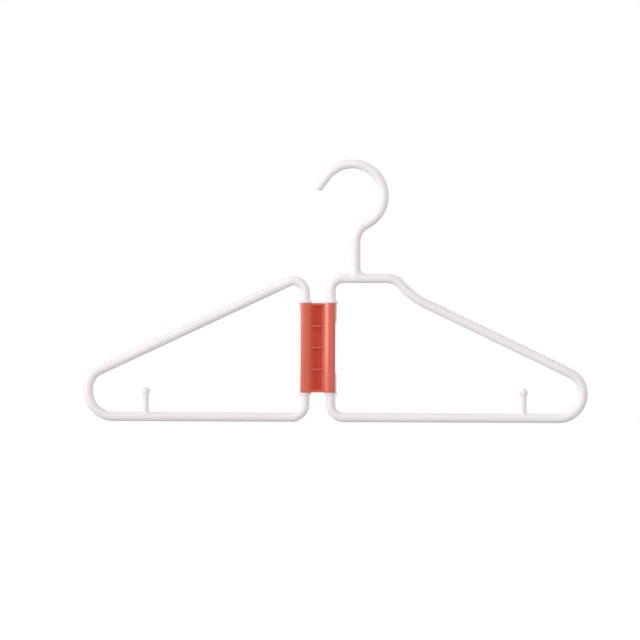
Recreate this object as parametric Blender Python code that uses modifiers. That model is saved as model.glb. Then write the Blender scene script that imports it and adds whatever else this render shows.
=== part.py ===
"""Folding clothes hanger.

Two round-rod frames, each moulded in one piece, turn on a snap-in hinge
connector. The right frame carries the hook and hangs on the rail, the left
frame swings round against it like the cover of a book.

Metres, +Z up, +X to the hanger's right as it faces the viewer, +Y away from
the viewer. The origin is the point inside the top of the hook where the rail
touches it, in the middle plane of the rod.
"""

import math

import bmesh
import bpy
from mathutils import Matrix, Vector

# Rod and the clearance between moving pieces
rod_diameter = 0.0073
running_gap = 0.0003

# Hinge: two upright spindles held in one connector
spindle_spacing = 0.0205
journal_diameter = 0.0092
journal_length = 0.0150
waist_diameter = 0.0062
waist_taper = 0.0012
collar_diameter = 0.0103
collar_thickness = 0.0016
collar_chamfer = 0.0003

# Connector: two snap barrels joined by a web with cross walls
connector_length = 0.0710
barrel_wall = 0.0013
mouth_half_angle = math.radians(60)
web_thickness = 0.0020
channel_floor_width = 0.0052
cross_wall_depth = 0.0068
cross_wall_thickness = 0.0012
end_wall_thickness = 0.0017
cross_wall_count = 3
end_wall_inset = 0.00025
connector_edge = 0.0003

# Frames: both loops share the neck heights above and below the connector
neck_height = 0.0198
foot_bend_radius = 0.0105

left_reach = 0.1755
left_peak_rise = 0.0229
left_peak_bend_radius = 0.0092
left_end_height = 0.0325
left_end_upper_radius = 0.0155
left_end_lower_radius = 0.0199

right_reach = 0.2042
yoke_length = 0.0510
yoke_step_run = 0.0140
yoke_step_drop = 0.0151
yoke_corner_radius = 0.0093
yoke_bend_radius = 0.0150
yoke_blend_radius = 0.0530
right_end_height = 0.0310
right_end_upper_radius = 0.0175
right_end_lower_radius = 0.0199

# Grip ribs across the top of both shoulders
rib_pitch = 0.0040
rib_width = 0.0026
rib_crest_width = 0.0012
rib_height = 0.00045
rib_flank_drop = 0.00025
rib_rim_radius = 0.0032
left_rib_upper_margin = 0.0035
left_rib_lower_margin = 0.0050
right_rib_upper_margin = 0.0081
right_rib_lower_margin = 0.0080

# Loop pegs on both bottom bars
left_peg_inset = 0.0492
right_peg_inset = 0.0508
peg_height = 0.0198
peg_ball_diameter = 0.0065
peg_stem_diameter = 0.0045
peg_root_flare = 0.0007

# Hook on the right frame
stem_offset = 0.01935
stem_diameter = 0.0075
stem_root_diameter = 0.0064
stem_fillet_radius = 0.0050
fillet_rod_diameter = 0.0070
hook_lean = 0.0028
hook_rise = 0.0657
hook_inner_diameter = 0.0432
hook_rod_diameter = 0.0072
hook_neck_bend_radius = 0.0160
hook_sweep_end = math.radians(142.5)
hook_arm_length = 0.0130
hook_tip_diameter = 0.0068
hook_tip_round = 0.0014

# Facet counts and steps of angle
rod_bevel_resolution = 6
arc_step = math.radians(11.25)
coarse_arc_step = math.radians(22.5)
turned_steps = 24
rib_steps = 20
sharp_angle = math.radians(35)

# Share of a straight run that the bends at its ends may take, and welding distance as a
# share of the rod
bend_room_share = 0.97
weld_share = 0.001

rod_radius = rod_diameter / 2
weld_distance = weld_share * rod_diameter
bore_radius = journal_diameter / 2 + running_gap
barrel_radius = bore_radius + barrel_wall
spindle_length = connector_length + 2 * running_gap + 2 * collar_thickness

hook_inner_radius = hook_inner_diameter / 2
hook_radius = hook_inner_radius + hook_rod_diameter / 2
hook_centre = Vector((0, -hook_inner_radius))

stem_x = hook_centre.x + hook_lean
right_axis_x = stem_x - stem_offset
left_axis_x = right_axis_x - spindle_spacing
top_bar_z = hook_centre.y - hook_rise
connector_top_z = top_bar_z - neck_height
connector_z = connector_top_z - connector_length / 2
bottom_bar_z = connector_top_z - connector_length - neck_height


def clear_scene():
    for item in list(bpy.data.objects):
        bpy.data.objects.remove(item, do_unlink=True)


def new_collection(name):
    collection = bpy.data.collections.new(name)
    bpy.context.scene.collection.children.link(collection)
    return collection


def new_material(name, colour, roughness):
    material = bpy.data.materials.new(name)
    material.use_nodes = True
    surface = material.node_tree.nodes["Principled BSDF"]
    surface.inputs["Base Color"].default_value = (*colour, 1)
    surface.inputs["Roughness"].default_value = roughness
    surface.inputs["Metallic"].default_value = 0
    material.diffuse_color = (*colour, 1)
    return material


def mix(a, b, share):
    return a + (b - a) * share


def arc_points(centre, radius, start, end, step):
    """Points on an arc, with both ends."""
    count = max(2, math.ceil(abs(end - start) / step))
    angles = [mix(start, end, i / count) for i in range(count + 1)]
    return [centre + radius * Vector((math.cos(a), math.sin(a))) for a in angles]


def bend_arcs(corners, radii):
    """The arc that rounds each inner corner of a centreline.

    Where two bends ask for more than the straight run between them, both are made smaller.
    """
    bends = []
    for before, corner, after, radius in zip(corners, corners[1:], corners[2:], radii):
        back = (before - corner).normalized()
        ahead = (after - corner).normalized()
        bends.append((corner, back, ahead, back.angle(ahead) / 2, radius))
    asked = [0] + [radius / math.tan(half) for _, _, _, half, radius in bends] + [0]
    fits = []
    for start, end, near, far in zip(corners, corners[1:], asked, asked[1:]):
        fits.append(min(1, bend_room_share * (end - start).length / (near + far)))

    arcs = []
    for (corner, back, ahead, half, radius), before_fit, after_fit in zip(bends, fits, fits[1:]):
        fitted = radius * min(before_fit, after_fit)
        centre = corner + (back + ahead).normalized() * fitted / math.sin(half)
        first = corner + back * fitted / math.tan(half) - centre
        last = corner + ahead * fitted / math.tan(half) - centre
        start = math.atan2(first.y, first.x)
        sweep = math.atan2(first.x * last.y - first.y * last.x, first.dot(last))
        arcs.append(arc_points(centre, fitted, start, start + sweep, arc_step))
    return arcs


def rib_row(start, end, upper_margin, lower_margin):
    """Places of the ribs along a straight shoulder, from its upper end outward."""
    along = (end - start).normalized()
    normal = Vector((abs(along.y), abs(along.x)))
    if along.x * along.y > 0:
        normal.x = -normal.x
    run = (end - start).length - upper_margin - lower_margin
    count = 1 + max(0, int(run / rib_pitch))
    first = start + along * upper_margin
    return first, along, normal, count


def rib_rings(row):
    """Centreline points halfway between neighbouring ribs and past both end ones."""
    first, along, normal, count = row
    return [first + along * rib_pitch * (i - 1 / 2) for i in range(count + 1)]


def mesh_from_curve(name, curve, location):
    """Replaces a curve by its mesh, with the caps welded on."""
    guide = bpy.data.objects.new(name, curve)
    guide.location = location
    bpy.context.scene.collection.objects.link(guide)
    bpy.context.view_layer.update()
    evaluated = guide.evaluated_get(bpy.context.evaluated_depsgraph_get())
    mesh = bpy.data.meshes.new_from_object(evaluated)
    form = bmesh.new()
    form.from_mesh(mesh)
    bmesh.ops.remove_doubles(form, verts=form.verts, dist=weld_distance)
    bmesh.ops.recalc_face_normals(form, faces=form.faces)
    form.to_mesh(mesh)
    form.free()
    mesh.shade_smooth()
    mesh.set_sharp_from_angle(angle=sharp_angle)
    place = guide.matrix_world.copy()
    bpy.data.objects.remove(guide, do_unlink=True)
    item = bpy.data.objects.new(name, mesh)
    item.matrix_world = place
    return item


def rod(name, points, radii, origin):
    """Round rod along points of the XZ plane, with its own radius at each point."""
    curve = bpy.data.curves.new(name, "CURVE")
    curve.dimensions = "3D"
    curve.bevel_depth = rod_radius
    curve.bevel_resolution = rod_bevel_resolution
    curve.use_fill_caps = True
    spline = curve.splines.new("POLY")
    spline.points.add(len(points) - 1)
    for target, point, radius in zip(spline.points, points, radii):
        target.co = (point.x - origin.x, 0, point.y - origin.y, 1)
        target.radius = radius / rod_radius
    return mesh_from_curve(name, curve, (origin.x, 0, origin.y))


def slab(name, outline, height, edge, location):
    """Flat outline of the XY plane with a height along Z and chamfered end edges."""
    curve = bpy.data.curves.new(name, "CURVE")
    curve.dimensions = "2D"
    curve.fill_mode = "BOTH"
    curve.extrude = height / 2 - edge
    curve.bevel_depth = edge
    curve.bevel_resolution = 0
    curve.offset = -edge
    spline = curve.splines.new("POLY")
    spline.points.add(len(outline) - 1)
    for target, point in zip(spline.points, outline):
        target.co = (point.x, point.y, 0, 1)
    spline.use_cyclic_u = True
    return mesh_from_curve(name, curve, location)


def turned(name, profile, steps):
    """Turned form, whose profile runs down its outer side from top to bottom."""
    mesh = bpy.data.meshes.new(name)
    form = bmesh.new()
    rim = [form.verts.new((x, 0, z)) for x, z in profile]
    for a, b in zip(rim, rim[1:]):
        form.edges.new((a, b))
    form.to_mesh(mesh)
    form.free()
    item = bpy.data.objects.new(name, mesh)
    screw = item.modifiers.new("Turn", "SCREW")
    screw.axis = "Z"
    screw.steps = steps
    screw.render_steps = steps
    screw.use_merge_vertices = True
    screw.merge_threshold = weld_distance
    screw.use_smooth_shade = True
    return item


def unite(target, forms):
    """Joins forms to a piece, so that it stays one closed body."""
    for form in forms:
        joined_forms.objects.link(form)
        form.hide_render = True
        form.display_type = "WIRE"
        union = target.modifiers.new(form.name, "BOOLEAN")
        union.operation = "UNION"
        union.solver = "EXACT"
        union.object = form


def spindle(name, axis_x):
    """Collar, journal, waist, journal and collar, turned on one upright axis."""
    top = spindle_length / 2
    collar = collar_diameter / 2
    journal = journal_diameter / 2
    waist = waist_diameter / 2
    seat = top - collar_thickness
    step = seat - journal_length
    upper = [
        (0, top),
        (collar - collar_chamfer, top),
        (collar, top - collar_chamfer),
        (collar, seat + collar_chamfer),
        (collar - collar_chamfer, seat),
        (journal, seat),
        (journal, step),
        (waist, step - waist_taper),
    ]
    lower = [(x, -z) for x, z in reversed(upper)]
    item = turned(name, upper + lower, turned_steps)
    item.location = (axis_x, 0, connector_z)
    return item


def grip_ribs(name, row):
    """Crested discs, set high in the rod so that only their tops stand out."""
    first, along, normal, count = row
    half = rib_width / 2
    crest = rib_crest_width / 2
    rim = [
        (0, half),
        (rib_rim_radius - rib_flank_drop, half),
        (rib_rim_radius, crest),
        (rib_rim_radius, -crest),
        (rib_rim_radius - rib_flank_drop, -half),
        (0, -half),
    ]
    item = turned(name, rim, rib_steps)
    place = first + normal * (rod_radius + rib_height - rib_rim_radius)
    axis = Vector((along.x, 0, along.y))
    up = Vector((normal.x, 0, normal.y))
    turn = Matrix((up, axis.cross(up), axis)).transposed().to_4x4()
    item.matrix_world = Matrix.Translation((place.x, 0, place.y)) @ turn
    array = item.modifiers.new("Row", "ARRAY")
    array.count = count
    array.use_relative_offset = False
    array.use_constant_offset = True
    array.constant_offset_displace = (0, 0, rib_pitch)
    return item


def peg(name, x):
    """Upright pin with a ball end, rooted in the middle of the bottom bar."""
    ball = peg_ball_diameter / 2
    stem = peg_stem_diameter / 2
    top = rod_radius + peg_height
    neck = math.asin(stem / ball)
    centre = Vector((0, top - ball))
    head = arc_points(centre, ball, math.pi / 2, neck - math.pi / 2, coarse_arc_step)
    profile = [(0, top)] + [(p.x, p.y) for p in head[1:]]
    profile += [
        (stem, rod_radius + peg_root_flare),
        (stem + peg_root_flare, rod_radius - peg_root_flare),
        (stem + peg_root_flare, 0),
        (0, 0),
    ]
    item = turned(name, profile, rib_steps)
    item.location = (x, 0, bottom_bar_z)
    return item


def hook(name, origin):
    """Stem, neck bend, round hook and straight arm with a rounded tip."""
    bend_x = stem_x + hook_neck_bend_radius
    reach = hook_radius + hook_neck_bend_radius
    fall = math.sqrt(reach ** 2 - (bend_x - hook_centre.x) ** 2)
    bend_centre = Vector((bend_x, hook_centre.y - fall))
    meet = math.atan2(-fall, bend_x - hook_centre.x)
    neck = arc_points(bend_centre, hook_neck_bend_radius, math.pi, math.pi + meet, arc_step)
    loop = arc_points(hook_centre, hook_radius, meet, hook_sweep_end, arc_step)[1:]
    arm = Vector((-math.sin(hook_sweep_end), math.cos(hook_sweep_end)))
    arm_end = loop[-1] + arm * (hook_arm_length - hook_tip_round)
    tip = arc_points(Vector((0, 0)), hook_tip_round, 0, math.pi / 2, coarse_arc_step)

    root = Vector((stem_x, top_bar_z))
    points = [root, root + Vector((0, rod_radius))] + neck
    radii = [stem_root_diameter / 2] + [stem_diameter / 2] * (1 + len(neck))
    middle = len(loop) // 2
    for i, point in enumerate(loop):
        points.append(point)
        if i < middle:
            radii.append(mix(stem_diameter, hook_rod_diameter, i / middle) / 2)
        else:
            share = (i - middle) / (len(loop) - middle)
            radii.append(mix(hook_rod_diameter, hook_tip_diameter, share) / 2)
    for p in tip:
        points.append(arm_end + arm * p.y)
        radii.append(hook_tip_diameter / 2 - hook_tip_round + p.x)
    return rod(name, points, radii, origin)


def stem_fillet(name, origin):
    """Quarter bend that flows from the stem into the yoke on its outer side."""
    radius = stem_fillet_radius + rod_radius
    corner = Vector((stem_x + running_gap / 2, top_bar_z))
    centre = corner + Vector((radius, radius))
    points = arc_points(centre, radius, math.pi, math.pi * 3 / 2, arc_step)
    return rod(name, points, [fillet_rod_diameter / 2] * len(points), origin)


def spindle_ends(axis_x):
    """The rod's two ends, in the middle of the collars."""
    middle = Vector((axis_x, connector_z))
    rise = Vector((0, spindle_length / 2 - collar_thickness / 2))
    return middle + rise, middle - rise


def build_left_frame():
    origin = Vector((left_axis_x, connector_z))
    upper, lower = spindle_ends(left_axis_x)
    end_x = left_axis_x - left_reach + rod_radius
    peak = Vector((left_axis_x, connector_top_z + left_peak_rise))
    end_top = Vector((end_x, bottom_bar_z + left_end_height))
    heel = Vector((end_x, bottom_bar_z))
    foot = Vector((left_axis_x, bottom_bar_z))
    radii = [left_peak_bend_radius, left_end_upper_radius, left_end_lower_radius, foot_bend_radius]
    arcs = bend_arcs([upper, peak, end_top, heel, foot, lower], radii)

    ribs = rib_row(arcs[0][-1], arcs[1][0], left_rib_upper_margin, left_rib_lower_margin)
    points = [upper] + arcs[0] + rib_rings(ribs) + arcs[1] + arcs[2] + arcs[3] + [lower]
    item = rod("left_frame", points, [rod_radius] * len(points), origin)
    unite(item, [
        spindle("left spindle", left_axis_x),
        grip_ribs("left shoulder ribs", ribs),
        peg("left peg", left_axis_x - left_reach + left_peg_inset),
    ])
    return item


def build_right_frame():
    origin = Vector((0, 0))
    upper, lower = spindle_ends(right_axis_x)
    end_x = right_axis_x + right_reach - rod_radius
    yoke_corner = Vector((right_axis_x, top_bar_z))
    yoke_end = yoke_corner + Vector((yoke_length, 0))
    step_end = yoke_end + Vector((yoke_step_run, -yoke_step_drop))
    end_top = Vector((end_x, bottom_bar_z + right_end_height))
    heel = Vector((end_x, bottom_bar_z))
    foot = Vector((right_axis_x, bottom_bar_z))
    yoke_radii = [yoke_corner_radius, yoke_bend_radius, yoke_blend_radius]
    loop_radii = [right_end_upper_radius, right_end_lower_radius, foot_bend_radius]
    corners = [upper, yoke_corner, yoke_end, step_end, end_top, heel, foot, lower]
    arcs = bend_arcs(corners, yoke_radii + loop_radii)

    ribs = rib_row(arcs[2][-1], arcs[3][0], right_rib_upper_margin, right_rib_lower_margin)
    points = [upper] + arcs[0] + arcs[1] + arcs[2] + rib_rings(ribs)
    points += arcs[3] + arcs[4] + arcs[5] + [lower]
    item = rod("right_frame", points, [rod_radius] * len(points), origin)
    unite(item, [
        spindle("right spindle", right_axis_x),
        grip_ribs("right shoulder ribs", ribs),
        peg("right peg", right_axis_x + right_reach - right_peg_inset),
        hook("hook", origin),
        stem_fillet("stem fillet", origin),
    ])
    return item


def mirrored(points):
    return [Vector((-p.x, p.y)) for p in reversed(points)]


def moved(points, x):
    return [Vector((p.x + x, p.y)) for p in points]


def snap_barrel_outline():
    """Right half of the connector's section: half the web, its slanted flanks and a C barrel.

    Each flank rises from the channel's floor and runs into the barrel along a tangent. The
    barrel grips the spindle behind its mouth, and both lips are rounded.
    """
    axis = Vector((spindle_spacing / 2, 0))
    corner = Vector((channel_floor_width / 2, web_thickness / 2))
    away = corner - axis
    touch = math.atan2(away.y, away.x) - math.acos(barrel_radius / away.length)
    mouth = mouth_half_angle
    lip = barrel_wall / 2
    lip_x = axis.x + (bore_radius + lip) * math.cos(mouth)
    lip_y = (bore_radius + lip) * math.sin(mouth)
    return (
        [corner]
        + arc_points(axis, barrel_radius, touch, mouth, arc_step)
        + arc_points(Vector((lip_x, lip_y)), lip, mouth, mouth - math.pi, 2 * coarse_arc_step)[1:-1]
        + arc_points(axis, bore_radius, mouth, 2 * math.pi - mouth, arc_step)
        + arc_points(Vector((lip_x, -lip_y)), lip, math.pi - mouth, -mouth, 2 * coarse_arc_step)[1:-1]
        + arc_points(axis, barrel_radius, -mouth, -touch, arc_step)
        + [Vector((corner.x, -corner.y))]
    )


def cross_wall_outline():
    """Wall between the barrels, whose hollow sides end in the middle of the barrel walls."""
    axis = Vector((spindle_spacing / 2, 0))
    seat = bore_radius + barrel_wall / 2
    half_angle = math.asin(cross_wall_depth / 2 / seat)
    side = arc_points(axis, seat, math.pi - half_angle, math.pi + half_angle, arc_step)
    return side + mirrored(side)


def build_connector():
    """Snap-in hinge connector, with its origin on the right spindle's axis."""
    shift = -spindle_spacing / 2
    place = Vector((right_axis_x, 0, connector_z))
    half = snap_barrel_outline()
    section = moved(half + mirrored(half), shift)
    item = slab("hinge_connector", section, connector_length, connector_edge, place)

    wall = moved(cross_wall_outline(), shift)
    end_height = connector_length / 2 - end_wall_inset - end_wall_thickness / 2
    ends = slab("connector end walls", wall, end_wall_thickness, 0, place - Vector((0, 0, end_height)))
    pair = ends.modifiers.new("Pair", "ARRAY")
    pair.count = 2
    pair.use_relative_offset = False
    pair.use_constant_offset = True
    pair.constant_offset_displace = (0, 0, 2 * end_height)

    pitch = 2 * end_height / (cross_wall_count + 1)
    walls = slab("connector cross walls", wall, cross_wall_thickness, 0, place - Vector((0, 0, end_height - pitch)))
    row = walls.modifiers.new("Row", "ARRAY")
    row.count = cross_wall_count
    row.use_relative_offset = False
    row.use_constant_offset = True
    row.constant_offset_displace = (0, 0, pitch)
    unite(item, [ends, walls])
    return item


clear_scene()
hanger = new_collection("Folding clothes hanger")
joined_forms = new_collection("Joined forms")
joined_forms.hide_render = True

white_plastic = new_material("White plastic", (0.84, 0.81, 0.83), 0.34)
coral_plastic = new_material("Coral plastic", (0.68, 0.10, 0.06), 0.34)

for piece, material in (
    (build_right_frame(), white_plastic),
    (build_connector(), coral_plastic),
    (build_left_frame(), white_plastic),
):
    piece.data.materials.append(material)
    hanger.objects.link(piece)
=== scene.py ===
"""Folding clothes hanger: fine moulded skins over the CAD frame, with plastics, light and camera."""

import math
from collections import namedtuple

import bmesh
import bpy
import numpy as np
from mathutils import Matrix, Vector


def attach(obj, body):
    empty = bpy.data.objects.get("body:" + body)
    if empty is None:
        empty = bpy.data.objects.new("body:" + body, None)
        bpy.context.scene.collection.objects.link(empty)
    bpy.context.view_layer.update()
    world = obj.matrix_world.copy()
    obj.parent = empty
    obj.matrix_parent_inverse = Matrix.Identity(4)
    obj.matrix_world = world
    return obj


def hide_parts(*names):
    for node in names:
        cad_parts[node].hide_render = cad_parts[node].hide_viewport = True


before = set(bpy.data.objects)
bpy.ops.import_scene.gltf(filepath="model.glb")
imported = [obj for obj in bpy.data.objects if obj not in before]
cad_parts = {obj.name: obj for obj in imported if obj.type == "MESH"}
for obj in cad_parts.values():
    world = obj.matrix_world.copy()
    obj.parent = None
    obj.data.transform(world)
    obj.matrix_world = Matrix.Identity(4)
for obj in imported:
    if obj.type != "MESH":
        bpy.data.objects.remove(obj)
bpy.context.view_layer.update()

# Rod and spindles, in metres like every length here
rod_radius = 0.00365
gap = 0.0003
spindle_spacing = 0.0205
journal_radius = 0.0046
journal_length = 0.0150
journal_edge_ring = 0.0002
waist_radius = 0.0031
waist_taper = 0.0012
collar_radius = 0.00515
collar_thickness = 0.0016
collar_round = 0.0004
collar_seat_round = 0.00012
collar_root_round = 0.0005
seat_gap = 0.00012

# Snap-in connector
connector_length = 0.0710
barrel_wall = 0.0013
mouth_half_angle = math.radians(60)
lip_bead = 0.00012
lip_back_angle = 0.16
lip_turn_angle = 0.3
web_thickness = 0.0020
channel_floor_width = 0.0052
channel_groove_radius = 0.00024
cross_wall_depth = 0.0068
cross_wall_thickness = 0.0012
end_wall_thickness = 0.0017
cross_wall_count = 3
end_wall_inset = 0.00025
connector_round = 0.00018
wall_round = 0.0002

# Both loops
neck_height = 0.0198
foot_bend_radius = 0.0105
bend_room_share = 0.97

left_reach = 0.1755
left_peak_rise = 0.0229
left_peak_bend_radius = 0.0092
left_end_height = 0.0325
left_end_upper_radius = 0.0155
left_end_lower_radius = 0.0199

right_reach = 0.2042
yoke_length = 0.0510
yoke_step_run = 0.0140
yoke_step_drop = 0.0151
yoke_corner_radius = 0.0093
yoke_bend_radius = 0.0150
yoke_blend_radius = 0.0530
right_end_height = 0.0310
right_end_upper_radius = 0.0175
right_end_lower_radius = 0.0199

# Grip ribs, with the free lengths before the first and after the last one
rib_pitch = 0.0040
rib_half_width = 0.0013
rib_half_crest = 0.0006
rib_height = 0.00045
rib_rim_radius = 0.0032
rib_blend = 0.00012
left_rib_margins = (0.0035, 0.0050)
right_rib_margins = (0.0081, 0.0080)

# Loop pegs
left_peg_inset = 0.0492
right_peg_inset = 0.0508
peg_height = 0.0198
peg_ball_radius = 0.00325
peg_stem_radius = 0.00225
peg_neck_room = 0.0004
peg_root_blend = 0.0011

# Hook and its stem
stem_offset = 0.01935
stem_radius = 0.00375
stem_root_radius = 0.0032
stem_root_blend = 0.0010
stem_fillet_radius = 0.0050
fillet_rod_radius = 0.0035
fillet_rod_end_radius = 0.0027
hook_lean = 0.0028
hook_rise = 0.0657
hook_inner_radius = 0.0216
hook_rod_radius = 0.0036
hook_neck_bend_radius = 0.0160
hook_sweep_end = math.radians(142.5)
hook_arm_length = 0.0130
hook_tip_radius = 0.0034
hook_tip_round = 0.0016

# Fineness of the skins
around = 40
arc_step = math.radians(4)
ball_step = math.radians(9)
ball_start_angle = 0.12
ball_end_angle = 0.05
barrel_step = math.radians(3)
bead_step = math.radians(12)
collar_angles = np.radians((0, 30, 60, 90))
tip_angles = np.radians((0, 15, 30, 45, 60, 75, 90))
weld_distance = 2e-6
sharp_edge_angle = math.radians(38)

# Rings lie close together where a peg or the stem joins a bar
junction_step = 0.0005
junction_depth = 0.001
peg_bar_reach = 0.005
peg_fine_length = 0.0035
stem_bar_before = 0.006
stem_bar_after = 0.013
stem_fine_height = 0.0135

# Rounding of the creases at the joins
settle_reach = 0.0002
settle_least = 1e-7
settle_probe = 1e-6
settle_rounds = 8
settle_least_slope = 0.05
stem_crease_height = 0.013
stem_crease_offset = 0.004
stem_crease_reach = 0.013
far_away = 1.0

hook_radius = hook_inner_radius + hook_rod_radius
hook_z = -hook_inner_radius
stem_x = hook_lean
right_axis_x = stem_x - stem_offset
left_axis_x = right_axis_x - spindle_spacing
connector_x = right_axis_x - spindle_spacing / 2
top_bar_z = hook_z - hook_rise
connector_top_z = top_bar_z - neck_height
connector_z = connector_top_z - connector_length / 2
bottom_bar_z = connector_top_z - connector_length - neck_height
bore_radius = journal_radius + gap
barrel_radius = bore_radius + barrel_wall
fillet_turn_radius = stem_fillet_radius + rod_radius
fillet_centre = np.array((stem_x + gap / 2 + fillet_turn_radius, top_bar_z + fillet_turn_radius))

up = np.array((0, 1))
around_angles = np.arange(around) * 2 * math.pi / around


def unit(v):
    return v / np.linalg.norm(v)


def direction(angle):
    """Flat unit vector at an angle from the first axis."""
    return np.array((math.cos(angle), math.sin(angle)))


def quarter_turn(v):
    """Flat vector turned by a quarter, in the sense in which angles grow."""
    return np.array((-v[1], v[0]))


def smooth_step(t):
    t = np.clip(t, 0, 1)
    return t * t * (3 - 2 * t)


def smooth_union(a, b, reach):
    """Lower of two distances, rounded where they are nearly equal."""
    near = np.maximum(reach - np.abs(a - b), 0) / reach
    return np.minimum(a, b) - near * near * reach / 4


def arc_angles(start, end, step=arc_step):
    count = max(2, math.ceil(abs(end - start) / step))
    return np.linspace(start, end, count + 1)


# Bend of a route, with its first and last point, centre, radius, first angle and swept angle
Bend = namedtuple("Bend", "first last centre radius start sweep")


def loop_bends(corners, radii):
    """Bends of a closed loop in the XZ plane, made smaller where two of them share a short run."""
    count = len(corners)
    corners = [np.array(c, dtype=float) for c in corners]
    halves = []
    for i, corner in enumerate(corners):
        back = unit(corners[i - 1] - corner)
        ahead = unit(corners[(i + 1) % count] - corner)
        halves.append((back, ahead, math.acos(np.clip(back @ ahead, -1, 1)) / 2))
    asked = [radius / math.tan(half) for radius, (_, _, half) in zip(radii, halves)]
    fits = []
    for i in range(count):
        run = np.linalg.norm(corners[(i + 1) % count] - corners[i])
        fits.append(min(1, bend_room_share * run / (asked[i] + asked[(i + 1) % count])))
    bends = []
    for i, (corner, radius, (back, ahead, half)) in enumerate(zip(corners, radii, halves)):
        fitted = radius * min(fits[i - 1], fits[i])
        centre = corner + unit(back + ahead) * fitted / math.sin(half)
        first = corner + back * fitted / math.tan(half)
        last = corner + ahead * fitted / math.tan(half)
        a = first - centre
        b = last - centre
        start = math.atan2(a[1], a[0])
        sweep = math.atan2(a[0] * b[1] - a[1] * b[0], a @ b)
        bends.append(Bend(first, last, centre, fitted, start, sweep))
    return bends


def bend_rings(bend):
    """Ring places along one bend, with the direction of travel."""
    turn = math.copysign(1, bend.sweep)
    rings = []
    for angle in arc_angles(bend.start, bend.start + bend.sweep):
        out = direction(angle)
        rings.append((bend.centre + bend.radius * out, turn * quarter_turn(out)))
    return rings


def junction_rings(start, end, middle, before, after):
    """Ring places of a straight run that lie close to a joining form."""
    along = unit(end - start)
    length = np.linalg.norm(end - start)
    centre = abs(middle - start[0])
    spots = np.arange(centre - before, centre + after + junction_step / 2, junction_step)
    return [(start + along * spot, along) for spot in spots if 0 < spot < length]


def plain(radius=rod_radius):
    return np.full(around, radius)


def rib_radii(offset):
    """Radii around the rod at a distance from a rib's middle, with the rib on the outer side."""
    centre = rod_radius + rib_height - rib_rim_radius
    sideways = centre * np.sin(around_angles)
    rim = centre * np.cos(around_angles) + np.sqrt(rib_rim_radius ** 2 - sideways ** 2)
    fall = smooth_step((abs(offset) - rib_half_crest) / (rib_half_width - rib_half_crest + rib_blend))
    rim = rim - fall * 2 * rib_height
    return -smooth_union(-plain(), -rim, rib_blend)


class Tube:
    """Rings of points along a route of the XZ plane, with their own radii around.

    Side is 1 where the loop's outer side lies to the right of the direction of travel, and -1 to the left.
    """

    def __init__(self, side):
        self.side = side
        self.rings = []

    def add(self, place, along, radii):
        out = self.side * np.array((along[1], -along[0]))
        flat = np.zeros((around, 3))
        flat[:, 0] = place[0] + radii * np.cos(around_angles) * out[0]
        flat[:, 1] = radii * np.sin(around_angles)
        flat[:, 2] = place[1] + radii * np.cos(around_angles) * out[1]
        self.rings.append(flat)

    def add_rod(self, rings):
        for place, along in rings:
            self.add(place, along, plain())

    def mesh(self, name, closed):
        rings = np.array(self.rings)
        count = len(rings)
        verts = rings.reshape(-1, 3)
        faces = []
        for i in range(count if closed else count - 1):
            a = i * around
            b = (i + 1) % count * around
            for k in range(around):
                n = (k + 1) % around
                faces.append((a + k, a + n, b + n, b + k))
        if not closed:
            faces.append(tuple(range(around)))
            faces.append(tuple(range((count - 1) * around, count * around))[::-1])
        return new_form(name, verts, faces)


def new_form(name, verts, faces):
    mesh = bpy.data.meshes.new(name)
    mesh.from_pydata([tuple(v) for v in verts], [], faces)
    form = bmesh.new()
    form.from_mesh(mesh)
    bmesh.ops.recalc_face_normals(form, faces=form.faces)
    form.to_mesh(mesh)
    form.free()
    mesh.shade_smooth()
    item = bpy.data.objects.new(name, mesh)
    bpy.context.scene.collection.objects.link(item)
    return item


def unite(target, forms):
    """Joins closed forms to a piece, so that it stays one closed skin."""
    for form in forms:
        union = target.modifiers.new(form.name, "BOOLEAN")
        union.operation = "UNION"
        union.solver = "EXACT"
        union.object = form
    bpy.context.view_layer.update()
    evaluated = target.evaluated_get(bpy.context.evaluated_depsgraph_get())
    mesh = bpy.data.meshes.new_from_object(evaluated)
    target.modifiers.clear()
    target.data = mesh
    mesh.shade_smooth()
    for form in forms:
        bpy.data.objects.remove(form, do_unlink=True)


def settle(item, rounded, joined):
    """Moves the skin near a crease from the plain join of its forms onto the rounded one."""
    mesh = item.data
    verts = np.empty(len(mesh.vertices) * 3)
    mesh.vertices.foreach_get("co", verts)
    verts = verts.reshape(-1, 3)
    near = np.abs(rounded(verts) - joined(verts)) > settle_least
    near &= np.abs(joined(verts)) < settle_reach
    points = verts[near]
    for _ in range(settle_rounds):
        value = rounded(points)
        slope = np.stack([
            (rounded(points + step) - rounded(points - step)) / (2 * settle_probe)
            for step in np.eye(3) * settle_probe
        ], axis=1)
        size = np.maximum((slope ** 2).sum(axis=1), settle_least_slope)
        points = points - slope * (value / size)[:, None]
    verts[near] = points
    mesh.vertices.foreach_set("co", verts.ravel())
    mesh.update()


def spindle_stations():
    """Heights above the connector's middle with radii, from the lower collar up to the upper one."""
    seat = connector_length / 2 + seat_gap
    outer = connector_length / 2 + gap + collar_thickness
    step = connector_length / 2 + gap - journal_length
    upper = [(0, waist_radius), (step - waist_taper, waist_radius), (step, journal_radius)]
    upper += [(step + journal_edge_ring, journal_radius), (seat, journal_radius)]
    edge = collar_seat_round
    for angle in collar_angles:
        upper.append((seat + edge - edge * math.cos(angle), collar_radius - edge + edge * math.sin(angle)))
    edge = collar_round
    for angle in collar_angles:
        upper.append((outer - edge + edge * math.sin(angle), collar_radius - edge + edge * math.cos(angle)))
    root = collar_root_round
    for angle in collar_angles:
        upper.append((outer + root - root * math.cos(angle), rod_radius + root - root * math.sin(angle)))
    lower = [(-z, r) for z, r in reversed(upper[1:])]
    return lower + upper


def add_spindle(tube, axis_x):
    for height, radius in spindle_stations():
        tube.add((axis_x, connector_z + height), up, plain(radius))


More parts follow.
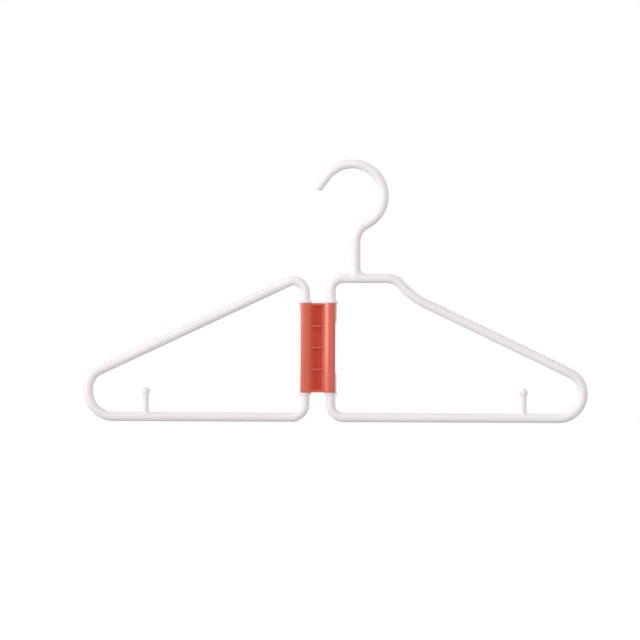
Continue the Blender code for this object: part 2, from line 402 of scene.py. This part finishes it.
# Rings across a rib, on either side of the one at its middle
millimetre = 0.001
rib_side = (0.4, 0.66, 0.84, 1.02, 1.2, 1.36, 1.55)
rib_offsets = np.array([-v for v in reversed(rib_side)] + [0] + list(rib_side)) * millimetre


def add_ribs(tube, start, end, margins):
    """Ribbed run of a shoulder, from its upper end outward."""
    along = unit(end - start)
    run = np.linalg.norm(end - start) - sum(margins)
    count = 1 + max(0, int(run / rib_pitch))
    for i in range(count):
        middle = margins[0] + i * rib_pitch
        for offset in rib_offsets:
            tube.add(start + along * (middle + offset), along, rib_radii(offset))


def left_frame_skin():
    end_x = left_axis_x - left_reach + rod_radius
    corners = [
        (left_axis_x, connector_top_z + left_peak_rise),
        (end_x, bottom_bar_z + left_end_height),
        (end_x, bottom_bar_z),
        (left_axis_x, bottom_bar_z),
    ]
    radii = [left_peak_bend_radius, left_end_upper_radius, left_end_lower_radius, foot_bend_radius]
    peak, end_top, heel, foot = loop_bends(corners, radii)
    peg_x = left_axis_x - left_reach + left_peg_inset
    tube = Tube(side=1)
    add_spindle(tube, left_axis_x)
    tube.add_rod(bend_rings(peak))
    add_ribs(tube, peak.last, end_top.first, left_rib_margins)
    tube.add_rod(bend_rings(end_top))
    tube.add_rod(bend_rings(heel))
    tube.add_rod(junction_rings(heel.last, foot.first, peg_x, peg_bar_reach, peg_bar_reach))
    tube.add_rod(bend_rings(foot))
    item = tube.mesh("left_frame_skin", closed=True)
    unite(item, [peg_form("left_peg", peg_x)])
    round_peg_root(item, peg_x)
    return item


def right_frame_skin():
    end_x = right_axis_x + right_reach - rod_radius
    step_x = right_axis_x + yoke_length + yoke_step_run
    corners = [
        (right_axis_x, top_bar_z),
        (right_axis_x + yoke_length, top_bar_z),
        (step_x, top_bar_z - yoke_step_drop),
        (end_x, bottom_bar_z + right_end_height),
        (end_x, bottom_bar_z),
        (right_axis_x, bottom_bar_z),
    ]
    radii = [yoke_corner_radius, yoke_bend_radius, yoke_blend_radius]
    radii += [right_end_upper_radius, right_end_lower_radius, foot_bend_radius]
    corner, yoke, step, end_top, heel, foot = loop_bends(corners, radii)
    peg_x = right_axis_x + right_reach - right_peg_inset
    tube = Tube(side=-1)
    add_spindle(tube, right_axis_x)
    tube.add_rod(bend_rings(corner))
    tube.add_rod(junction_rings(corner.last, yoke.first, stem_x, stem_bar_before, stem_bar_after))
    tube.add_rod(bend_rings(yoke))
    tube.add_rod(bend_rings(step))
    add_ribs(tube, step.last, end_top.first, right_rib_margins)
    tube.add_rod(bend_rings(end_top))
    tube.add_rod(bend_rings(heel))
    tube.add_rod(junction_rings(heel.last, foot.first, peg_x, peg_bar_reach, peg_bar_reach))
    tube.add_rod(bend_rings(foot))
    item = tube.mesh("right_frame_skin", closed=True)
    unite(item, [peg_form("right_peg", peg_x), hook_form("hook"), fillet_form("stem_fillet")])
    round_peg_root(item, peg_x)
    round_stem_root(item)
    return item


def peg_form(name, x):
    """Upright pin with a ball end, rooted in the middle of the bottom bar."""
    top = bottom_bar_z + rod_radius + peg_height
    centre = top - peg_ball_radius
    neck = math.asin(peg_stem_radius / peg_ball_radius)
    tube = Tube(side=1)
    tube.add((x, bottom_bar_z), up, plain(peg_stem_radius))
    low = bottom_bar_z + rod_radius - junction_depth
    high = centre - peg_ball_radius * math.cos(neck) - peg_neck_room
    for z in np.concatenate((np.arange(low, low + peg_fine_length, junction_step), (high,))):
        tube.add((x, z), up, plain(peg_stem_radius))
    for angle in arc_angles(neck + ball_start_angle, math.pi - ball_end_angle, ball_step):
        z = centre - peg_ball_radius * math.cos(angle)
        tube.add((x, z), up, plain(peg_ball_radius * math.sin(angle)))
    return tube.mesh(name, closed=False)


def hook_form(name):
    """Stem, neck bend, round hook and straight arm with a rounded tip."""
    bend_x = stem_x + hook_neck_bend_radius
    reach = hook_radius + hook_neck_bend_radius
    fall = math.sqrt(reach ** 2 - bend_x ** 2)
    bend_centre = np.array((bend_x, hook_z - fall))
    hook_centre = np.array((0, hook_z))
    meet = math.atan2(-fall, bend_x)
    tube = Tube(side=-1)
    tube.add((stem_x, top_bar_z), up, plain(stem_root_radius))
    low = top_bar_z + rod_radius - junction_depth
    for z in np.arange(low, top_bar_z + stem_fine_height, junction_step):
        share = min(1, (z - top_bar_z) / rod_radius)
        tube.add((stem_x, z), up, plain(stem_root_radius + (stem_radius - stem_root_radius) * share))
    for angle in arc_angles(math.pi, math.pi + meet):
        out = direction(angle)
        tube.add(bend_centre + hook_neck_bend_radius * out, -quarter_turn(out), plain(stem_radius))
    for angle in arc_angles(meet, hook_sweep_end)[1:]:
        share = (angle - meet) / (hook_sweep_end - meet)
        radius = np.interp(share, (0, 0.5, 1), (stem_radius, hook_rod_radius, hook_tip_radius))
        out = direction(angle)
        tube.add(hook_centre + hook_radius * out, quarter_turn(out), plain(radius))
    out = direction(hook_sweep_end)
    along = quarter_turn(out)
    arm_start = hook_centre + hook_radius * out
    tip = hook_arm_length - hook_tip_round
    for angle in tip_angles:
        place = arm_start + along * (tip + hook_tip_round * math.sin(angle))
        radius = hook_tip_radius - hook_tip_round * (1 - math.cos(angle))
        tube.add(place, along, plain(radius))
    return tube.mesh(name, closed=False)


def fillet_rod(share):
    """Radius of the fillet's rod, which thins towards both ends."""
    return fillet_rod_radius - (fillet_rod_radius - fillet_rod_end_radius) * np.abs(2 * share - 1) ** 3


def fillet_form(name):
    """Quarter bend that flows from the stem into the yoke on its outer side."""
    tube = Tube(side=1)
    angles = arc_angles(math.pi, math.pi * 3 / 2)
    for i, angle in enumerate(angles):
        out = direction(angle)
        share = i / (len(angles) - 1)
        tube.add(fillet_centre + fillet_turn_radius * out, quarter_turn(out), plain(fillet_rod(share)))
    return tube.mesh(name, closed=False)


def bar_distance(p, z):
    return np.hypot(p[:, 2] - z, p[:, 1]) - rod_radius


def round_peg_root(item, x):
    def parts(p):
        stem = np.hypot(p[:, 0] - x, p[:, 1]) - peg_stem_radius
        stem = np.where(p[:, 2] < bottom_bar_z, far_away, stem)
        return bar_distance(p, bottom_bar_z), stem

    def rounded(p):
        bar, stem = parts(p)
        return smooth_union(bar, stem, peg_root_blend)

    def joined(p):
        return np.minimum(*parts(p))

    settle(item, rounded, joined)


def round_stem_root(item):
    def parts(p):
        share = np.clip((p[:, 2] - top_bar_z) / rod_radius, 0, 1)
        width = stem_root_radius + (stem_radius - stem_root_radius) * share
        stem = np.hypot(p[:, 0] - stem_x, p[:, 1]) - width
        outside = (p[:, 2] < top_bar_z) | (p[:, 2] > top_bar_z + stem_crease_height)
        stem = np.where(outside, far_away, stem)
        bar = bar_distance(p, top_bar_z)
        bar = np.where(np.abs(p[:, 0] - stem_x - stem_crease_offset) > stem_crease_reach, far_away, bar)
        dx = p[:, 0] - fillet_centre[0]
        dz = p[:, 2] - fillet_centre[1]
        angle = np.clip(np.arctan2(-dz, -dx), 0, math.pi / 2)
        near_x = fillet_centre[0] - fillet_turn_radius * np.cos(angle)
        near_z = fillet_centre[1] - fillet_turn_radius * np.sin(angle)
        off = np.sqrt((p[:, 0] - near_x) ** 2 + p[:, 1] ** 2 + (p[:, 2] - near_z) ** 2)
        bend = off - fillet_rod(angle / (math.pi / 2))
        return bar, stem, bend

    def rounded(p):
        bar, stem, bend = parts(p)
        return smooth_union(smooth_union(bar, stem, stem_root_blend), bend, stem_root_blend)

    def joined(p):
        bar, stem, bend = parts(p)
        return np.minimum(np.minimum(bar, stem), bend)

    settle(item, rounded, joined)


def arc(centre, radius, start, end, step):
    points = []
    for angle in arc_angles(start, end, step):
        points.append((centre[0] + radius * math.cos(angle), centre[1] + radius * math.sin(angle)))
    return points


def barrel_section():
    """Right half of the connector's section: channel grooves, slanted flanks and lips with a bead."""
    axis = spindle_spacing / 2
    corner = np.array((channel_floor_width / 2, web_thickness / 2))
    away = corner - (axis, 0)
    touch = math.atan2(away[1], away[0]) - math.acos(barrel_radius / np.linalg.norm(away))
    flank = unit(np.array((axis, 0)) + barrel_radius * direction(touch) - corner)
    slant = math.atan2(flank[1], flank[0])
    mouth = mouth_half_angle
    lip = barrel_wall / 2
    lip_x = axis + (bore_radius + lip) * math.cos(mouth)
    lip_y = (bore_radius + lip) * math.sin(mouth)
    bead = lip + lip_bead
    back = lip_back_angle
    turn = lip_turn_angle
    return (
        arc(corner, channel_groove_radius, math.pi, 2 * math.pi + slant, bead_step)
        + arc((axis, 0), barrel_radius, touch, mouth + back, barrel_step)
        + arc((lip_x, lip_y), bead, mouth + turn, mouth - math.pi - turn, bead_step)
        + arc((axis, 0), bore_radius, mouth + back, 2 * math.pi - mouth - back, barrel_step)
        + arc((lip_x, -lip_y), bead, math.pi - mouth + turn, -mouth - turn, bead_step)
        + arc((axis, 0), barrel_radius, -mouth - back, -touch, barrel_step)
        + arc((corner[0], -corner[1]), channel_groove_radius, -slant, math.pi, bead_step)
    )


def cross_wall_section():
    """Section of a wall across the channel, which is seated in the middle of both barrel walls."""
    axis = spindle_spacing / 2
    seat = bore_radius + barrel_wall / 2
    half_angle = math.asin(cross_wall_depth / 2 / seat)
    side = arc((axis, 0), seat, math.pi - half_angle, math.pi + half_angle, arc_step)
    return side + [(-x, y) for x, y in reversed(side)]


def slab(name, outline, height, edge, middle_z):
    """Flat outline of the XY plane with a height along Z and rounded end edges."""
    curve = bpy.data.curves.new(name, "CURVE")
    curve.dimensions = "2D"
    curve.fill_mode = "BOTH"
    curve.extrude = height / 2 - edge
    curve.bevel_depth = edge
    curve.bevel_resolution = 2
    curve.offset = -edge
    spline = curve.splines.new("POLY")
    spline.points.add(len(outline) - 1)
    for target, point in zip(spline.points, outline):
        target.co = (point[0], point[1], 0, 1)
    spline.use_cyclic_u = True
    guide = bpy.data.objects.new(name, curve)
    bpy.context.scene.collection.objects.link(guide)
    bpy.context.view_layer.update()
    evaluated = guide.evaluated_get(bpy.context.evaluated_depsgraph_get())
    mesh = bpy.data.meshes.new_from_object(evaluated)
    bpy.data.objects.remove(guide, do_unlink=True)
    form = bmesh.new()
    form.from_mesh(mesh)
    bmesh.ops.remove_doubles(form, verts=form.verts, dist=weld_distance)
    bmesh.ops.translate(form, verts=form.verts, vec=(connector_x, 0, middle_z))
    bmesh.ops.recalc_face_normals(form, faces=form.faces)
    form.to_mesh(mesh)
    form.free()
    item = bpy.data.objects.new(name, mesh)
    bpy.context.scene.collection.objects.link(item)
    return item


def connector_skin():
    half = barrel_section()
    section = half + [(-x, y) for x, y in reversed(half)]
    item = slab("hinge_connector_skin", section, connector_length, connector_round, connector_z)
    wall = cross_wall_section()
    end_height = connector_length / 2 - end_wall_inset - end_wall_thickness / 2
    forms = []
    for i, z in enumerate((-end_height, end_height)):
        forms.append(slab(f"end_wall_{i}", wall, end_wall_thickness, wall_round, connector_z + z))
    pitch = 2 * end_height / (cross_wall_count + 1)
    for i in range(cross_wall_count):
        z = connector_z - end_height + pitch * (i + 1)
        forms.append(slab(f"cross_wall_{i}", wall, cross_wall_thickness, wall_round, z))
    unite(item, forms)
    item.data.set_sharp_from_angle(angle=sharp_edge_angle)
    return item


right_skin = right_frame_skin()
left_skin = left_frame_skin()
connector = connector_skin()
for piece, node, body, slot in (
    (right_skin, "right_frame", "right_frame", "white_plastic"),
    (connector, "hinge_connector", "connector", "coral_plastic"),
    (left_skin, "left_frame", "left_frame", "white_plastic"),
):
    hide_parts(node)
    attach(piece, body)


def new_nodes(name):
    material = bpy.data.materials.new(name)
    material.use_nodes = True
    tree = material.node_tree
    return material, tree, tree.nodes["Principled BSDF"]


def add_node(tree, kind, **values):
    """Adds a node and sets its sockets and properties by name."""
    node = tree.nodes.new(kind)
    for key, value in values.items():
        if key in node.inputs:
            node.inputs[key].default_value = value
        else:
            setattr(node, key, value)
    return node


def calculate(tree, operation, *values):
    """Adds a math node for linked outputs and plain numbers."""
    node = add_node(tree, "ShaderNodeMath", operation=operation)
    for socket, value in zip(node.inputs, values):
        if isinstance(value, float):
            socket.default_value = value
        else:
            tree.links.new(value, socket)
    return node.outputs["Value"]


def map_range(tree, value, before, after, kind="LINEAR"):
    """Maps a value from one range to another and keeps it inside."""
    node = add_node(tree, "ShaderNodeMapRange", interpolation_type=kind)
    node.inputs["From Min"].default_value = before[0]
    node.inputs["From Max"].default_value = before[1]
    node.inputs["To Min"].default_value = after[0]
    node.inputs["To Max"].default_value = after[1]
    tree.links.new(value, node.inputs["Value"])
    return node.outputs["Result"]


def noise(tree, place, scale, detail):
    node = add_node(tree, "ShaderNodeTexNoise", Scale=scale, Detail=detail)
    tree.links.new(place.outputs["Object"], node.inputs["Vector"])
    return node.outputs["Fac"]


def bump(tree, height, distance):
    node = add_node(tree, "ShaderNodeBump", Strength=1.0, Distance=distance)
    tree.links.new(height, node.inputs["Height"])
    return node


# Scale and detail of the noises, and the range of their values that is used
cloud_noise = (38.0, 3.0)
gloss_noise = (420.0, 4.0)
grain_noise = (1100.0, 2.0)
noise_range = (0.3, 0.7)

# The mould seam is a low ridge, with its half widths at the crest and at the foot
seam_half_widths = (0.00005, 0.00018)
seam_height = 0.00002


def moulded_plastic(name, dark, light, specular, roughness, grain_height):
    """Injection-moulded plastic: cloudy colour, uneven gloss, fine grain and a mould seam on Y zero."""
    material, tree, surface = new_nodes(name)
    place = add_node(tree, "ShaderNodeTexCoord")
    tint = add_node(tree, "ShaderNodeMix", data_type="RGBA")
    tint.inputs["A"].default_value = (*dark, 1)
    tint.inputs["B"].default_value = (*light, 1)
    clouds = noise(tree, place, *cloud_noise)
    tree.links.new(map_range(tree, clouds, noise_range, (0.0, 1.0)), tint.inputs["Factor"])
    tree.links.new(tint.outputs["Result"], surface.inputs["Base Color"])
    spots = noise(tree, place, *gloss_noise)
    tree.links.new(map_range(tree, spots, noise_range, roughness), surface.inputs["Roughness"])

    grain = bump(tree, noise(tree, place, *grain_noise), grain_height)

    split = add_node(tree, "ShaderNodeSeparateXYZ")
    tree.links.new(place.outputs["Object"], split.inputs["Vector"])
    off = calculate(tree, "ABSOLUTE", split.outputs["Y"])
    line = map_range(tree, off, seam_half_widths, (1.0, 0.0), "SMOOTHSTEP")
    ridge = bump(tree, line, seam_height)
    tree.links.new(grain.outputs["Normal"], ridge.inputs["Normal"])
    tree.links.new(ridge.outputs["Normal"], surface.inputs["Normal"])
    surface.inputs["Specular IOR Level"].default_value = specular
    return material


white = moulded_plastic(
    "white_moulded",
    dark=(0.888, 0.832, 0.853),
    light=(0.918, 0.872, 0.888),
    specular=0.08,
    roughness=(0.46, 0.54),
    grain_height=0.0000015,
)
coral = moulded_plastic(
    "coral_moulded",
    dark=(0.605, 0.080, 0.031),
    light=(0.645, 0.091, 0.036),
    specular=1.0,
    roughness=(0.37, 0.45),
    grain_height=0.0000015,
)
# Darker coral for the channel floor: painted shade of the recess, with a matt gloss on top
matt_coral_painted_shade = moulded_plastic(
    "coral_recess_painted_shade",
    dark=(0.545, 0.055, 0.024),
    light=(0.585, 0.063, 0.028),
    specular=0.3,
    roughness=(0.50, 0.58),
    grain_height=0.0000025,
)
for piece, material in ((right_skin, white), (left_skin, white), (connector, coral)):
    piece.data.materials.clear()
    piece.data.materials.append(material)

# The floor of the channel is matt, since it shows no reflection in the photo
# The darker colour given to the channel floor here is painted shade
connector.data.materials.append(matt_coral_painted_shade)
recess_half_width = channel_floor_width / 2
recess_half_depth = web_thickness / 2 + channel_groove_radius / 4
for face in connector.data.polygons:
    across = abs(face.center.x - connector_x)
    if across < recess_half_width and abs(face.center.y) < recess_half_depth:
        face.material_index = 1


def seen_directly(tree):
    """One for rays from the camera, a reflection or glass, and zero for the light on the object."""
    rays = add_node(tree, "ShaderNodeLightPath")
    value = rays.outputs["Is Camera Ray"]
    for kind in ("Is Glossy Ray", "Is Transmission Ray"):
        value = calculate(tree, "MAXIMUM", value, rays.outputs[kind])
    return value


# Floor below the hanger, which glows only where it is seen
floor_z = -0.41
floor_half_size = 2.6
floor_colour = (0.56, 0.56, 0.56, 1)
floor_glow = 0.65


def floor_material():
    material, tree, surface = new_nodes("pale_floor")
    tree.nodes.remove(surface)
    matt = add_node(tree, "ShaderNodeBsdfDiffuse", Color=floor_colour)
    light = add_node(tree, "ShaderNodeEmission", Color=(1, 1, 1, 1), Strength=floor_glow)
    both = add_node(tree, "ShaderNodeAddShader")
    pick = add_node(tree, "ShaderNodeMixShader")
    material.cycles.emission_sampling = "NONE"
    tree.links.new(matt.outputs["BSDF"], both.inputs[0])
    tree.links.new(light.outputs["Emission"], both.inputs[1])
    tree.links.new(seen_directly(tree), pick.inputs["Fac"])
    tree.links.new(matt.outputs["BSDF"], pick.inputs[1])
    tree.links.new(both.outputs["Shader"], pick.inputs[2])
    tree.links.new(pick.outputs["Shader"], tree.nodes["Material Output"].inputs["Surface"])
    return material


floor = bpy.data.objects.new("floor", bpy.data.meshes.new("floor"))
floor_corners = [
    (x * floor_half_size, y * floor_half_size, floor_z)
    for x, y in ((-1, -1), (1, -1), (1, 1), (-1, 1))
]
floor.data.from_pydata(floor_corners, [], [(0, 1, 2, 3)])
floor.data.materials.append(floor_material())
bpy.context.scene.collection.objects.link(floor)

# The surround is white where it is seen, and lights the object more from the left, the front and straight
# behind. Each edge gives the two cosines between which a glow grows to its full strength.
sky_level = 0.635
sky_gradient = (-0.15, -0.11, -0.03)
back_direction = (0.0, 1.0, 0.0)
back_strength = 0.9
back_edge = (0.65, 1.0)
panel_direction = (-0.97, -0.22, 0.06)
panel_strength = 3.2
panel_edge = (0.70, 0.90)


def glow(tree, place, towards, edge, strength):
    """Round patch of the surround that grows brighter between two cosines off its direction."""
    aim = add_node(tree, "ShaderNodeVectorMath", operation="DOT_PRODUCT")
    aim.inputs[1].default_value = Vector(towards).normalized()
    tree.links.new(place.outputs["Generated"], aim.inputs[0])
    return map_range(tree, aim.outputs["Value"], edge, (0.0, strength), "SMOOTHSTEP")


def surround():
    world = bpy.data.worlds.new("surround")
    bpy.context.scene.world = world
    world.use_nodes = True
    world.cycles.sampling_method = "NONE"
    tree = world.node_tree
    place = add_node(tree, "ShaderNodeTexCoord")

    # What lights the object: a slope over the whole sky and a glow behind
    slope = add_node(tree, "ShaderNodeVectorMath", operation="DOT_PRODUCT")
    slope.inputs[1].default_value = sky_gradient
    tree.links.new(place.outputs["Generated"], slope.inputs[0])
    level = calculate(tree, "ADD", slope.outputs["Value"], sky_level)
    back = glow(tree, place, back_direction, back_edge, back_strength)
    light = tree.nodes["Background"]
    light.inputs["Color"].default_value = (1, 1, 1, 1)
    tree.links.new(calculate(tree, "ADD", level, back), light.inputs["Strength"])

    # What is seen: white, and in a reflection also a bright panel at the left
    rays = add_node(tree, "ShaderNodeLightPath")
    panel = glow(tree, place, panel_direction, panel_edge, panel_strength)
    seen = add_node(tree, "ShaderNodeBackground", Color=(1, 1, 1, 1))
    seen_level = calculate(tree, "MULTIPLY_ADD", panel, rays.outputs["Is Glossy Ray"], 1.0)
    tree.links.new(seen_level, seen.inputs["Strength"])

    pick = add_node(tree, "ShaderNodeMixShader")
    tree.links.new(seen_directly(tree), pick.inputs["Fac"])
    tree.links.new(light.outputs["Background"], pick.inputs[1])
    tree.links.new(seen.outputs["Background"], pick.inputs[2])
    tree.links.new(pick.outputs["Shader"], tree.nodes["World Output"].inputs["Surface"])


surround()


def soft_sun(name, towards, power, spread):
    """Wide soft light from far away, with its direction as seen from the object and its spread in degrees."""
    data = bpy.data.lights.new(name, "SUN")
    data.energy = power
    data.angle = math.radians(spread)
    item = bpy.data.objects.new(name, data)
    item.rotation_euler = Vector(towards).to_track_quat("Z", "Y").to_euler()
    bpy.context.scene.collection.objects.link(item)
    return item


# The fill lights without a reflection
soft_sun("key", towards=(-0.94, -0.30, 0.08), power=1.42, spread=38)
fill = soft_sun("front_fill", towards=(0.10, -1.0, 0.15), power=0.88, spread=50)
fill.visible_glossy = False

# The camera stands straight in front of the photo's middle and is turned as the hanger is in the photo
photo_pixels = 640
pixel_size = 0.7945e-3
photo_middle_x = -0.02524
photo_middle_z = -0.12054
photo_turn = math.radians(0.28)
camera_distance = 6.0
sensor_width = 36

camera_data = bpy.data.cameras.new("camera")
camera = bpy.data.objects.new("camera", camera_data)
bpy.context.scene.collection.objects.link(camera)
camera_data.sensor_width = sensor_width
camera_data.lens = sensor_width * camera_distance / (photo_pixels * pixel_size)
camera_data.clip_start = 0.1
camera_data.clip_end = 60
camera.matrix_world = (
    Matrix.Translation((photo_middle_x, -camera_distance, photo_middle_z))
    @ Matrix.Rotation(math.radians(90), 4, "X")
    @ Matrix.Rotation(photo_turn, 4, "Z")
)
bpy.context.scene.camera = camera
bpy.context.scene.view_settings.view_transform = "Standard"

bpy.context.view_layer.update()
